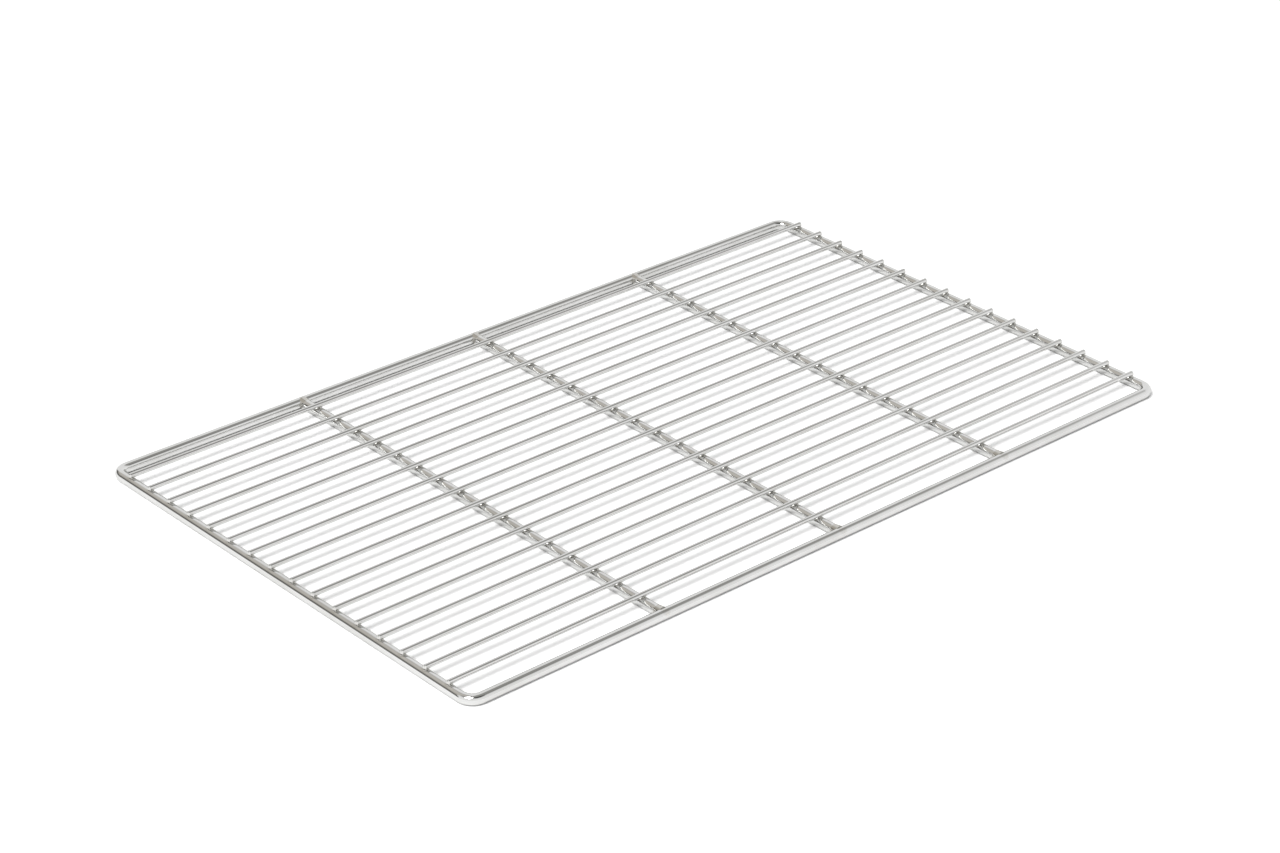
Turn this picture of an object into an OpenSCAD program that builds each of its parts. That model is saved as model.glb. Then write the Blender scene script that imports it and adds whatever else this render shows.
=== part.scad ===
// Welded wire rack of gastronorm 1/1 size, made of round stainless steel wire.
// Lengths are in millimetres. The origin is at the centre of the rack, on the
// surface that it lies on. +X runs along the grid wires, +Z points up.

/* [Overall size] */
// Length over the outside of the frame, along the grid wires
rack_length = 530; // [400:1:600]
// Width over the outside of the frame, across the grid wires
rack_width = 325; // [265:1:400]

/* [Frame] */
// Diameter of the frame's wire, of which the crossbars are cut too
frame_wire_d = 6.35; // [5:0.05:8]
// Radius of the corner bends, to the outside of the wire
corner_radius = 11; // [9:0.5:16]

/* [Crossbars] */
// Number of crossbars, evenly spaced between the short sides
crossbar_count = 3; // [1:1:4]
// Depth to which a crossbar's square end is sunk into the weld at the frame
crossbar_bite = 2.3; // [1.6:0.1:2.4]

/* [Grid wires] */
// Number of grid wires, evenly spaced across the rack
grid_wire_count = 16; // [8:1:20]
// Diameter of a grid wire
grid_wire_d = 3.2; // [2.5:0.1:4]
// Free gap between the frame and the outermost grid wire
grid_edge_gap = 11.9; // [10:0.1:20]
// Distance from the frame's outer face back to a grid wire's cut end
grid_end_inset = 1.8; // [0.5:0.1:3]
// Length over which a grid wire's trimmed ends are rounded off
grid_end_chamfer = 0.45; // [0.1:0.05:0.9]
// Diameter of the flat face that is left in the middle of a grid wire's end
grid_end_face_d = 1.6; // [0.8:0.1:2.4]

/* [Welds] */
// Depth to which a grid wire is pressed into what carries it
weld_set_down = 0.3; // [0.1:0.05:0.5]
// Diameter of the weld nugget at its foot, under a grid wire
nugget_foot_d = 3.2; // [2.4:0.1:4]
// Diameter of the weld nugget at its neck
nugget_neck_d = 2.4; // [1.8:0.1:2.4]
// Height of the weld nugget's neck above the crossing's contact level
nugget_rise = 0.5; // [0.3:0.05:0.7]
// Depth of the weld nugget's foot below the crossing's contact level
nugget_depth = 0.9; // [0.8:0.1:1.2]
// How far the weld bead stands out around a crossbar's end
bead_flare = 0.6; // [0.3:0.05:0.8]
// Length of the weld bead along the crossbar
bead_length = 2.8; // [1.5:0.1:4]
// Height of the weld bead's ground flat above the surface that the rack lies on
bead_lift = 0.15; // [0.1:0.05:0.5]

/* [Hidden] */
$fn = 48;
frame_half_x = (rack_length - frame_wire_d) / 2;
frame_half_y = (rack_width - frame_wire_d) / 2;
frame_z = frame_wire_d / 2;
bend_r = corner_radius - frame_wire_d / 2;
side_length = rack_length - 2 * corner_radius;
end_length = rack_width - 2 * corner_radius;

// Grid wires lie on a level that the frame and the crossbars share.
carry_z = frame_wire_d;
grid_wire_z = carry_z - weld_set_down + grid_wire_d / 2;
grid_wire_length = rack_length - 2 * grid_end_inset;
grid_span = rack_width - 2 * frame_wire_d - 2 * grid_edge_gap - grid_wire_d;
grid_pitch = grid_span / (grid_wire_count - 1);

crossbar_d = frame_wire_d;
crossbar_z = carry_z - crossbar_d / 2;
crossbar_pitch = 2 * frame_half_x / (crossbar_count + 1);
crossbar_half = rack_width / 2 - frame_wire_d + crossbar_bite;

function grid_wire_y(i) = (i - (grid_wire_count + 1) / 2) * grid_pitch;
function crossbar_x(i) = (i - (crossbar_count + 1) / 2) * crossbar_pitch;
function two_digits(i) = i < 10 ? str("0", i) : str(i);
function crossbar_name(i) = str("crossbar_", i);
function grid_wire_name(i) = str("grid_wire_", two_digits(i));

// Straight round wire, centred on the origin, along X, its seam line on its flank
module wire_along_x(d, length) {
    rotate([90, 0, 90]) cylinder(d = d, h = length, center = true);
}

// Straight round wire, centred on the origin, along Y
module wire_along_y(d, length) {
    rotate([90, 0, 0]) cylinder(d = d, h = length, center = true);
}

// One corner of the frame, bent through a right angle about the origin
module corner_bend() {
    rotate_extrude(angle = 90) translate([bend_r, 0]) circle(d = frame_wire_d);
}

// The frame's wire before it is welded
module frame_wire() {
    bend_x = side_length / 2;
    bend_y = end_length / 2;
    for (s = [-1, 1]) {
        translate([0, s * frame_half_y, frame_z]) wire_along_x(frame_wire_d, side_length);
        translate([s * frame_half_x, 0, frame_z]) wire_along_y(frame_wire_d, end_length);
    }
    translate([bend_x, bend_y, frame_z]) corner_bend();
    translate([-bend_x, bend_y, frame_z]) rotate(90) corner_bend();
    translate([-bend_x, -bend_y, frame_z]) rotate(180) corner_bend();
    translate([bend_x, -bend_y, frame_z]) rotate(270) corner_bend();
}

// Weld nugget that carries a grid wire, its contact level at the origin
module weld_nugget() {
    translate([0, 0, -nugget_depth]) rotate(45)
        cylinder(d1 = nugget_foot_d, d2 = nugget_neck_d, h = nugget_depth + nugget_rise);
}

// A row of weld nuggets across the rack, one for each grid wire, at place x
module nugget_row(x) {
    for (i = [1:grid_wire_count]) translate([x, grid_wire_y(i), carry_z]) weld_nugget();
}

// What the grid wires press out of the wires and welds that carry them
module grid_seats() {
    for (i = [1:grid_wire_count])
        translate([0, grid_wire_y(i), grid_wire_z]) wire_along_x(grid_wire_d, grid_wire_length);
}

// Closed frame of round wire, with the weld nuggets of its short sides
module frame() {
    color("silver") difference() {
        union() {
            frame_wire();
            for (s = [-1, 1]) nugget_row(s * frame_half_x);
        }
        grid_seats();
    }
}

// Weld bead around a crossbar's end, widening towards the frame in +Y and flat below
module crossbar_bead() {
    bead_d = crossbar_d + 2 * bead_flare;
    length = bead_length + crossbar_bite;
    difference() {
        rotate([90, 0, 0]) cylinder(d1 = bead_d, d2 = crossbar_d, h = length);
        translate([0, -length / 2, bead_lift - crossbar_z - bead_d / 2])
            cube([2 * bead_d, 2 * length, bead_d], center = true);
    }
}

// Crossbar i, butt-welded between the long sides, with its weld nuggets
module crossbar(i) {
    color("lightgray") difference() {
        union() {
            translate([crossbar_x(i), 0, crossbar_z]) {
                wire_along_y(crossbar_d, 2 * crossbar_half);
                translate([0, crossbar_half, 0]) crossbar_bead();
                rotate(180) translate([0, crossbar_half, 0]) crossbar_bead();
            }
            nugget_row(crossbar_x(i));
        }
        for (s = [-1, 1])
            translate([0, s * frame_half_y, frame_z]) wire_along_x(frame_wire_d, side_length);
        grid_seats();
    }
}

// Trimmed tip of a grid wire, ending at the origin and widening in -X
module grid_wire_tip() {
    rotate([0, -90, 0]) cylinder(
        d1 = grid_end_face_d,
        d2 = grid_wire_d,
        h = grid_end_chamfer
    );
}

// Grid wire i, laid over the frame's short sides and every crossbar
module grid_wire(i) {
    color("gainsboro") translate([0, grid_wire_y(i), grid_wire_z]) {
        wire_along_x(grid_wire_d, grid_wire_length - 2 * grid_end_chamfer);
        for (turn = [0, 180]) rotate(turn) translate([grid_wire_length / 2, 0, 0]) grid_wire_tip();
    }
}

frame();
for (i = [1:crossbar_count]) crossbar(i);
for (i = [1:grid_wire_count]) grid_wire(i);
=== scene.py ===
import math
import bpy
from mathutils import Matrix, Vector


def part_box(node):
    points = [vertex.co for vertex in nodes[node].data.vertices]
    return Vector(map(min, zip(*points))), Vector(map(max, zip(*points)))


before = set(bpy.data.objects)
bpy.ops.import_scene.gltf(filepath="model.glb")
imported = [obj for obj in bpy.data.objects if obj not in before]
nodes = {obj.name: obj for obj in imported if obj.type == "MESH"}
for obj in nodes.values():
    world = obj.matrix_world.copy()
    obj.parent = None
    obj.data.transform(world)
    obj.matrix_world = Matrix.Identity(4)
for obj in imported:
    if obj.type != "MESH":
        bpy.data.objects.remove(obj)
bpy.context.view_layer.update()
mm = 0.001
scene = bpy.context.scene
print("frame loaded:", len(nodes), "nodes")


def linearColour(hexColour, alpha=1.0):
    # an sRGB hex value as the linear colour that the shaders take
    parts = [int(hexColour[i:i + 2], 16) / 255 for i in (1, 3, 5)]
    return tuple(c / 12.92 if c <= 0.04045 else ((c + 0.055) / 1.055) ** 2.4 for c in parts) + (alpha,)


def addNode(tree, kind, inputs=None, **settings):
    # one shader node with its settings; an input takes a value, or the output that feeds it
    node = tree.nodes.new(kind)
    for name, value in settings.items():
        setattr(node, name, value)
    for name, value in (inputs or {}).items():
        if isinstance(value, bpy.types.NodeSocket):
            tree.links.new(value, node.inputs[name])
        else:
            node.inputs[name].default_value = value
    return node


def newMaterial(name):
    material = bpy.data.materials.new(name)
    material.use_nodes = True
    material.node_tree.nodes.clear()
    return material, material.node_tree


def seenByEye(tree):
    # 1 for what the camera, a polished face or a clear one looks at, 0 for what only lights the object
    rays = addNode(tree, "ShaderNodeLightPath").outputs
    seen = addNode(tree, "ShaderNodeMath", {0: rays["Is Camera Ray"], 1: rays["Is Glossy Ray"]},
                   operation="MAXIMUM").outputs[0]
    seen = addNode(tree, "ShaderNodeMath", {0: seen, 1: rays["Is Transmission Ray"]},
                   operation="MAXIMUM").outputs[0]
    # what reaches the paper by way of the steel only lights it
    straight = addNode(tree, "ShaderNodeMath", {0: rays["Diffuse Depth"], 1: 0.5},
                       operation="LESS_THAN").outputs[0]
    return addNode(tree, "ShaderNodeMath", {0: seen, 1: straight}, operation="MULTIPLY").outputs[0]


# camera at the photo's viewing angle
view = {
    "place": (-1115.1, -1232.2, 887.1),  # mm from the middle of the rack
    "lookAt": (3.6, 10.2, 0.0),
    "roll": 0.556,  # degrees
    "lens": 90.96,
}
cameraData = bpy.data.cameras.new("camera")
camera = bpy.data.objects.new("camera", cameraData)
scene.collection.objects.link(camera)
scene.camera = camera
cameraData.lens = view["lens"]
cameraData.sensor_width = 36.0
cameraData.clip_start = 0.05
cameraData.clip_end = 60.0
place = Vector(view["place"]) * mm
away = (place - Vector(view["lookAt"]) * mm).normalized()
level = Vector((0, 0, 1)).cross(away).normalized()
upright = away.cross(level)
turn = Matrix((level, upright, away)).transposed().to_4x4()
roll = Matrix.Rotation(math.radians(view["roll"]), 4, "Z")
camera.matrix_world = Matrix.Translation(place) @ turn @ roll
print("camera set")


def middle(name, axis):
    # where a solid's middle lies along one axis, in mm
    low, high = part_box(name)
    return (low[axis] + high[axis]) / 2 / mm


def breadth(name, axis):
    # how far a solid reaches along one axis, in mm
    low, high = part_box(name)
    return (high[axis] - low[axis]) / mm


# the wires' spacing, taken from the solids
gridNames = sorted(name for name in nodes if name.startswith("grid_wire"))
crossbarNames = sorted(name for name in nodes if name.startswith("crossbar"))
gridPitch = middle(gridNames[1], 1) - middle(gridNames[0], 1)
crossbarPitch = middle(crossbarNames[1], 0) - middle(crossbarNames[0], 0)
frameHalf = (breadth("frame", 0) / 2, breadth("frame", 1) / 2)

# 304 stainless steel, cold-drawn bright and electropolished after welding: a soft-edged mirror that is
# slightly grey, with faint drawing lines along the wire and a duller skin where a weld has been
frameWire = {
    "diameter": 6.35,  # mm
    "bendRadius": 7.825,  # mm, to the middle of the wire
    "height": 3.175,  # mm, of the wire's middle above the floor
    "colour": "#D1D1D0",
    "cloudColour": "#C9C9C7",
    "weldColour": "#BDBBB6",
    "edge": "#E4E4E3",  # what is left of the shine near the outline, where steel mirrors less
    "roughness": 0.085,
    "roughnessSpread": (0.75, 1.25),  # of the roughness, from one drawing line to the next
    "lineWidth": 0.5,  # mm; the real drawing lines are 0.05, drawn wider so that they show
    "lineLength": 60,  # mm
    "lineDepth": 0.004,  # mm
    "lineRange": (0.3, 0.7),  # of the noise, over which the lines turn from smooth to rough
    "cloudSize": 28,  # mm
    "cloudRange": (0.35, 0.7),  # of the noise, over which the clouds set in
    "weldRoughness": 0.07,  # that a weld adds
    "weldEdge": (0.04, 0.12),  # mm past the round of the wire, over which it turns to weld metal
    "weldHeight": 6.2,  # mm above the floor, of the welds under the grid wires
    "hotReach": (1.6, 3.4),  # mm from such a weld, over which the heated skin fades
    "hotShare": 0.5,  # how much of the weld's look the heated skin takes on
}
crossbarWire = dict(frameWire)
gridWire = dict(frameWire, diameter=3.2, height=7.65, lineWidth=0.35, lineDepth=0.003)


def steelMaterial(name, spec, run):
    material, tree = newMaterial(name)
    here = addNode(tree, "ShaderNodeTexCoord").outputs["Object"]
    here = addNode(tree, "ShaderNodeVectorMath", {0: here, 3: 1 / mm}, operation="SCALE").outputs[0]
    x, y, z = addNode(tree, "ShaderNodeSeparateXYZ", {0: here}).outputs
    above = addNode(tree, "ShaderNodeMath", {0: z, 1: spec["height"]}, operation="SUBTRACT").outputs[0]
    nearCrossbar = addNode(tree, "ShaderNodeMath", {0: x, 1: crossbarPitch / 2},
                           operation="PINGPONG").outputs[0]
    betweenWires = addNode(tree, "ShaderNodeMath", {0: y, 1: gridPitch / 2},
                           operation="SUBTRACT").outputs[0]
    nearGridWire = addNode(tree, "ShaderNodeMath", {0: betweenWires, 1: gridPitch / 2},
                           operation="PINGPONG").outputs[0]
    if run == "round":
        # the frame's wire follows a rectangle with round corners
        corner = tuple(half - spec["diameter"] / 2 - spec["bendRadius"] for half in frameHalf) + (1000,)
        folded = addNode(tree, "ShaderNodeVectorMath", {0: here}, operation="ABSOLUTE").outputs[0]
        folded = addNode(tree, "ShaderNodeVectorMath", {0: folded, 1: corner},
                         operation="SUBTRACT").outputs[0]
        folded = addNode(tree, "ShaderNodeVectorMath", {0: folded, 1: (0, 0, 0)},
                         operation="MAXIMUM").outputs[0]
        reach = addNode(tree, "ShaderNodeVectorMath", {0: folded}, operation="LENGTH").outputs["Value"]
        aside = addNode(tree, "ShaderNodeMath", {0: reach, 1: spec["bendRadius"]},
                        operation="SUBTRACT").outputs[0]
        along = addNode(tree, "ShaderNodeMath", {0: x, 1: y}, operation="ADD").outputs[0]
        grain = {0: aside, 1: above, 2: along}
    elif run == "y":
        aside = nearCrossbar
        grain = {0: x, 1: above, 2: y}
    else:
        aside = nearGridWire
        grain = {0: y, 1: above, 2: x}
    stretched = addNode(tree, "ShaderNodeCombineXYZ", grain).outputs[0]
    scale = (1 / spec["lineWidth"], 1 / spec["lineWidth"], 1 / spec["lineLength"])
    stretched = addNode(tree, "ShaderNodeVectorMath", {0: stretched, 1: scale},
                        operation="MULTIPLY").outputs[0]
    lines = addNode(tree, "ShaderNodeTexNoise",
                    {"Vector": stretched, "Scale": 1.0, "Detail": 2.0}).outputs[0]
    clouds = addNode(tree, "ShaderNodeTexNoise",
                     {"Vector": here, "Scale": 1 / spec["cloudSize"], "Detail": 3.0}).outputs[0]
    # the weld metal stands out past the round of the wire, and the skin round it has been hot
    section = addNode(tree, "ShaderNodeCombineXYZ", {0: aside, 1: above}).outputs[0]
    radial = addNode(tree, "ShaderNodeVectorMath", {0: section}, operation="LENGTH").outputs["Value"]
    weldMetal = addNode(tree, "ShaderNodeMapRange", {
        "Value": radial,
        "From Min": spec["diameter"] / 2 + spec["weldEdge"][0],
        "From Max": spec["diameter"] / 2 + spec["weldEdge"][1]}).outputs[0]
    depth = addNode(tree, "ShaderNodeMath", {0: z, 1: spec["weldHeight"]}, operation="SUBTRACT").outputs[0]
    crossing = addNode(tree, "ShaderNodeCombineXYZ",
                       {0: nearCrossbar, 1: nearGridWire, 2: depth}).outputs[0]
    crossing = addNode(tree, "ShaderNodeVectorMath", {0: crossing}, operation="LENGTH").outputs["Value"]
    hotSkin = addNode(tree, "ShaderNodeMapRange", {
        "Value": crossing, "From Min": spec["hotReach"][0], "From Max": spec["hotReach"][1],
        "To Min": spec["hotShare"], "To Max": 0.0}, interpolation_type="SMOOTHSTEP").outputs[0]
    weld = addNode(tree, "ShaderNodeMath", {0: weldMetal, 1: hotSkin}, operation="MAXIMUM").outputs[0]
    cloudy = addNode(tree, "ShaderNodeMapRange", {
        "Value": clouds, "From Min": spec["cloudRange"][0], "From Max": spec["cloudRange"][1]}).outputs[0]
    colour = addNode(tree, "ShaderNodeMix", {
        0: cloudy, 6: linearColour(spec["colour"]), 7: linearColour(spec["cloudColour"])},
        data_type="RGBA").outputs[2]
    colour = addNode(tree, "ShaderNodeMix", {0: weld, 6: colour, 7: linearColour(spec["weldColour"])},
                     data_type="RGBA").outputs[2]
    rough = addNode(tree, "ShaderNodeMapRange", {
        "Value": lines, "From Min": spec["lineRange"][0], "From Max": spec["lineRange"][1],
        "To Min": spec["roughness"] * spec["roughnessSpread"][0],
        "To Max": spec["roughness"] * spec["roughnessSpread"][1]}).outputs[0]
    rough = addNode(tree, "ShaderNodeMath", {0: weld, 1: spec["weldRoughness"], 2: rough},
                    operation="MULTIPLY_ADD").outputs[0]
    bump = addNode(tree, "ShaderNodeBump",
                   {"Height": lines, "Strength": 1.0, "Distance": spec["lineDepth"] * mm})
    shader = addNode(tree, "ShaderNodeBsdfPrincipled", {
        "Metallic": 1.0, "Base Color": colour, "Specular Tint": linearColour(spec["edge"]),
        "Roughness": rough, "Normal": bump.outputs[0]})
    addNode(tree, "ShaderNodeOutputMaterial", {"Surface": shader.outputs[0]})
    return material


frameSteel = steelMaterial("electropolishedFrameWire", frameWire, "round")
crossbarSteel = steelMaterial("electropolishedCrossbarWire", crossbarWire, "y")
gridSteel = steelMaterial("electropolishedGridWire", gridWire, "x")
for name, piece in nodes.items():
    piece.data.materials.clear()
    steel = gridSteel if name in gridNames else crossbarSteel if name in crossbarNames else frameSteel
    piece.data.materials.append(steel)
print("materials set")

# seamless white paper under the rack
paper = {
    "size": 8000,  # mm
    "colour": "#F4F4F4",
    "seenAs": 1.29,  # how bright the lit sheet looks, past 1 so that all but its shadows is clean white
}
paperMaterial, tree = newMaterial("seamlessPaper")
sheet = addNode(tree, "ShaderNodeMix", {
    0: seenByEye(tree), 6: linearColour(paper["colour"]), 7: (paper["seenAs"],) * 3 + (1.0,)},
    data_type="RGBA")
diffuse = addNode(tree, "ShaderNodeBsdfDiffuse", {"Color": sheet.outputs[2]})
addNode(tree, "ShaderNodeOutputMaterial", {"Surface": diffuse.outputs[0]})
half = paper["size"] * mm / 2
paperMesh = bpy.data.meshes.new("paper")
paperCorners = [(-half, -half, 0), (half, -half, 0), (half, half, 0), (-half, half, 0)]
paperMesh.from_pydata(paperCorners, [], [(0, 1, 2, 3)])
paperMesh.materials.append(paperMaterial)
floor = bpy.data.objects.new("paper", paperMesh)
scene.collection.objects.link(floor)
print("floor set")

# one soft box high on the left gives the wires their narrow shadows and the corners their white spots
softBox = {
    "height": 4000,  # mm above the floor
    "leanLeft": 35,  # degrees from straight up towards -X
    "leanFront": 18,  # degrees from straight up towards -Y
    "halfAngleAcross": 16.5,  # degrees that it spans each way along Y, seen from the rack
    "halfAngleUp": 15,  # and each way from the floor upwards
    "share": 0.54,  # of the light that falls on the floor
}
leanLeft = math.radians(softBox["leanLeft"])
leanFront = math.radians(softBox["leanFront"])
boxPlace = Vector((-math.tan(leanLeft), -math.tan(leanFront), 1)) * softBox["height"] * mm
boxSizeUp = 2 * boxPlace.length * math.tan(math.radians(softBox["halfAngleUp"]))
boxSizeAcross = 2 * boxPlace.z * math.tan(math.radians(softBox["halfAngleAcross"]))
boxData = bpy.data.lights.new("softBox", "AREA")
boxData.shape = "RECTANGLE"
boxData.size = boxSizeUp
boxData.size_y = boxSizeAcross
box = bpy.data.objects.new("softBox", boxData)
box.matrix_world = Matrix.Translation(boxPlace) @ Matrix.Rotation(-leanLeft, 4, "Y")
scene.collection.objects.link(box)
# what the box gives the floor under the rack at a radiance of 1, as a share of full daylight white
boxAxis = Vector((math.sin(-leanLeft), 0, math.cos(leanLeft)))
boxIrradiance = (boxSizeUp * boxSizeAcross * boxPlace.z * abs(boxPlace.dot(boxAxis))
                 / boxPlace.length ** 4 / math.pi)
boxRadiance = softBox["share"] / boxIrradiance
boxData.energy = boxRadiance * math.pi * boxSizeUp * boxSizeAcross  # watts of a flat lamp
print("soft box set, radiance %.2f" % boxRadiance)

# what stands round the rack: white boards up to eye level, a dark ceiling and, at the back left, the
# open room; angles are in degrees, and azimuth runs from +X over +Y
studio = {
    "fill": (0.72, 0.26),  # the rest of the light, from the left and from the right
    "boards": {
        "glow": (1.24, 1.10),  # how bright they look in the polished steel, at their foot and at their top
        "over": (0, 40),  # elevations of that foot and top
        "end": (36, 52),  # elevations over which they give way to the ceiling
    },
    "highBoard": {
        "azimuth": (22, 68),  # of the one board that stands higher
        "soft": (10, 14),  # how gradually its two edges set in
    },
    "ceiling": {
        "glow": (0.04, 0.42),  # towards the front and towards the back
        "turn": (-0.6, -0.2),  # where it changes, as the share of the direction along +Y
        "tint": "#FFFEFA",
    },
    "room": {
        "azimuth": (86, 141),
        "soft": (7, 5),  # how gradually its two edges set in
        "low": 12,  # how much further round it reaches close to the floor
        "lowEnd": (16, 30),  # elevations over which that is lost
        "elevation": (4, 12),  # over which its foot sets in
        "glow": (0.08, 0.72),
        "over": (13, 38),  # elevations over which it turns from its dark foot to its lit wall
        "tint": "#FFFAF2",
    },
}
world = bpy.data.worlds.new("studio")
scene.world = world
world.use_nodes = True
tree = world.node_tree
tree.nodes.clear()
towards = addNode(tree, "ShaderNodeTexCoord").outputs["Generated"]
side, back, up = addNode(tree, "ShaderNodeSeparateXYZ", {0: towards}).outputs
elevation = addNode(tree, "ShaderNodeMath", {0: up}, operation="ARCSINE").outputs[0]
elevation = addNode(tree, "ShaderNodeMath", {0: elevation}, operation="DEGREES").outputs[0]
azimuth = addNode(tree, "ShaderNodeMath", {0: back, 1: side}, operation="ARCTAN2").outputs[0]
azimuth = addNode(tree, "ShaderNodeMath", {0: azimuth}, operation="DEGREES").outputs[0]


def ramp(source, start, end, low=0.0, high=1.0):
    # a smooth change from one value to another
    return addNode(tree, "ShaderNodeMapRange", {
        "Value": source, "From Min": start, "From Max": end, "To Min": low, "To Max": high},
        interpolation_type="SMOOTHSTEP").outputs[0]


def times(first, second):
    return addNode(tree, "ShaderNodeMath", {0: first, 1: second}, operation="MULTIPLY").outputs[0]


def tinted(hexColour, strength):
    return addNode(tree, "ShaderNodeVectorMath", {0: linearColour(hexColour)[:3], 3: strength},
                   operation="SCALE").outputs[0]


boards = studio["boards"]
boardLight = tinted("#FFFFFF", ramp(elevation, *boards["over"], *boards["glow"]))
highBoard = studio["highBoard"]
nearest, furthest = highBoard["azimuth"]
softNear, softFar = highBoard["soft"]
offHighBoard = addNode(tree, "ShaderNodeMath", {
    0: ramp(azimuth, nearest, nearest + softNear, 1.0, 0.0),
    1: ramp(azimuth, furthest, furthest + softFar)}, operation="MAXIMUM").outputs[0]
ceiling = studio["ceiling"]
ceilingLight = tinted(ceiling["tint"], ramp(back, *ceiling["turn"], *ceiling["glow"]))
look = addNode(tree, "ShaderNodeMix", {
    0: times(ramp(elevation, *boards["end"]), offHighBoard), 6: boardLight, 7: ceilingLight},
    data_type="RGBA", clamp_result=False).outputs[2]
room = studio["room"]
nearest, furthest = room["azimuth"]
softNear, softFar = room["soft"]
# low down the room reaches further round, under the lit wall beside the soft box
leftEdge = addNode(tree, "ShaderNodeMath", {
    0: azimuth, 1: ramp(elevation, *room["lowEnd"], -room["low"], 0.0)}, operation="ADD").outputs[0]
inRoom = times(ramp(azimuth, nearest - softNear, nearest + softNear),
               ramp(leftEdge, furthest - softFar, furthest + softFar, 1.0, 0.0))
inRoom = times(inRoom, ramp(elevation, *room["elevation"]))
roomLight = tinted(room["tint"], ramp(elevation, *room["over"], *room["glow"]))
look = addNode(tree, "ShaderNodeMix", {0: inRoom, 6: look, 7: roomLight},
               data_type="RGBA", clamp_result=False).outputs[2]
fill = addNode(tree, "ShaderNodeMapRange", {
    "Value": side, "From Min": -1.0, "From Max": 1.0,
    "To Min": studio["fill"][0], "To Max": studio["fill"][1]}).outputs[0]
light = addNode(tree, "ShaderNodeMix", {0: seenByEye(tree), 6: fill, 7: look}, data_type="RGBA").outputs[2]
# the camera itself sees plain white past the paper
cameraRay = addNode(tree, "ShaderNodeLightPath").outputs["Is Camera Ray"]
light = addNode(tree, "ShaderNodeMix", {0: cameraRay, 6: light, 7: (1.0, 1.0, 1.0, 1.0)},
                data_type="RGBA").outputs[2]
background = addNode(tree, "ShaderNodeBackground", {"Color": light})
addNode(tree, "ShaderNodeOutputWorld", {"Surface": background.outputs[0]})
print("studio set")

scene.view_settings.view_transform = "Standard"
